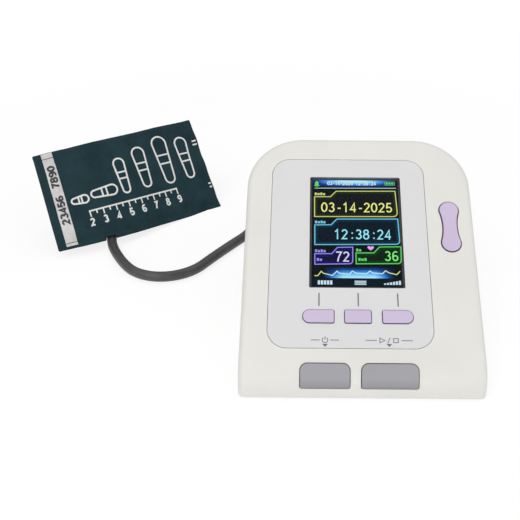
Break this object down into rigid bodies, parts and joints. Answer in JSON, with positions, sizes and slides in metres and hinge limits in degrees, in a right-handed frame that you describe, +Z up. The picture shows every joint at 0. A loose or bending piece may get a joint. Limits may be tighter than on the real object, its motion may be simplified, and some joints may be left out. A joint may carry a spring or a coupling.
{
  "type": "veterinary blood pressure monitor",
  "caption": "Desktop blood pressure monitor for animals: a wedge-shaped housing with a sloping colour screen and soft keys, and a folded fabric cuff on an air hose.",
  "frame": {"origin": "on the table, in the middle of the footprint of monitor and cuff", "axes": "+X to the user's right, +Y away from the user, +Z up"},
  "size_m": [0.2475, 0.2172, 0.0795],
  "materials": {
    "housing": "satin",
    "panel": "satin",
    "lilac_keys": "satin",
    "grey_keys": "satin",
    "window": "clear",
    "display": "gloss",
    "inner_plastic": "matte",
    "board": "satin",
    "black_plastic": "matte",
    "steel": "brushed",
    "brass": "satin",
    "cell": "satin",
    "rubber": "matte",
    "hose": "matte",
    "clear_tube": "satin",
    "cuff_cloth": "woven",
    "cuff_print": "printed",
    "hook_tape": "napped"
  },
  "bodies": {
    "monitor": {"front_cover": "housing", "base_shell": "housing", "foot_1": "rubber", "foot_2": "rubber", "foot_3": "rubber", "foot_4": "rubber", "case_screws": "steel", "board_screws": "steel", "face_panel": "panel", "display_window": "window", "display_glass": "display", "display_tray": "inner_plastic", "display_ribbon": "brass", "main_board": "board", "side_board": "board", "chin_board": "board", "soft_switches": "black_plastic", "rocker_switches": "black_plastic", "chin_switches": "black_plastic", "rocker_pin": "steel", "battery_cell_1": "cell", "battery_cell_2": "cell", "battery_cell_3": "cell", "battery_cell_4": "cell", "contact_springs": "steel", "contact_plates": "steel", "pump_motor": "steel", "pump_head": "inner_plastic", "pump_cradle": "rubber", "release_valve": "steel", "air_manifold": "inner_plastic", "pressure_sensor": "black_plastic", "socket_tube": "clear_tube", "valve_tube": "clear_tube", "pump_tube": "clear_tube", "sensor_tube": "clear_tube", "buzzer": "black_plastic", "air_socket": "grey_keys", "power_jack": "black_plastic", "data_port": "steel", "probe_socket": "black_plastic"},
    "soft_key_left": {"soft_key_left": "lilac_keys"},
    "soft_key_middle": {"soft_key_middle": "lilac_keys"},
    "soft_key_right": {"soft_key_right": "lilac_keys"},
    "power_key": {"power_key": "grey_keys"},
    "start_key": {"start_key": "grey_keys"},
    "rocker": {"rocker_key": "lilac_keys"},
    "battery_door": {"battery_door": "housing"},
    "cuff": {"air_plug": "grey_keys", "air_hose": "hose", "hose_port": "hose", "cuff_loop": "cuff_cloth", "bladder": "rubber", "loop_patch": "hook_tape"},
    "cuff_flap": {"cuff_flap": "cuff_cloth", "hook_patch": "hook_tape", "index_strip": "cuff_print"}
  },
  "joints": [
    {"name": "soft_key_left_press", "type": "slide", "parent": "monitor", "child": "soft_key_left", "axis": [0, 0.5373, -0.8434], "range_m": [0, 0.0007], "stiffness_N_per_m": 1500},
    {"name": "soft_key_middle_press", "type": "slide", "parent": "monitor", "child": "soft_key_middle", "axis": [0, 0.5373, -0.8434], "range_m": [0, 0.0007], "stiffness_N_per_m": 1500},
    {"name": "soft_key_right_press", "type": "slide", "parent": "monitor", "child": "soft_key_right", "axis": [0, 0.5373, -0.8434], "range_m": [0, 0.0007], "stiffness_N_per_m": 1500},
    {"name": "power_key_press", "type": "slide", "parent": "monitor", "child": "power_key", "axis": [0, 0.8339, -0.5519], "range_m": [0, 0.0008], "stiffness_N_per_m": 1500},
    {"name": "start_key_press", "type": "slide", "parent": "monitor", "child": "start_key", "axis": [0, 0.8339, -0.5519], "range_m": [0, 0.0008], "stiffness_N_per_m": 1500},
    {"name": "rocker_tilt", "type": "hinge", "parent": "monitor", "child": "rocker", "pos_m": [0.1119, -0.04097, 0.0492], "axis": [1, 0, 0], "range_deg": [-3, 3], "stiffness_Nm_per_rad": 0.25},
    {"name": "battery_door_slide", "type": "slide", "parent": "monitor", "child": "battery_door", "axis": [0, 1, 0], "range_m": [0, 0.022]},
    {"name": "plug_pull", "type": "slide", "parent": "monitor", "child": "cuff", "axis": [0, 1, 0], "range_m": [0, 0.015]},
    {"name": "flap_peel", "type": "hinge", "parent": "cuff", "child": "cuff_flap", "pos_m": [-0.02156, 0.07483, 0], "axis": [-0.3093, 0.4501, 0.8377], "range_deg": [0, 65]}
  ]
}
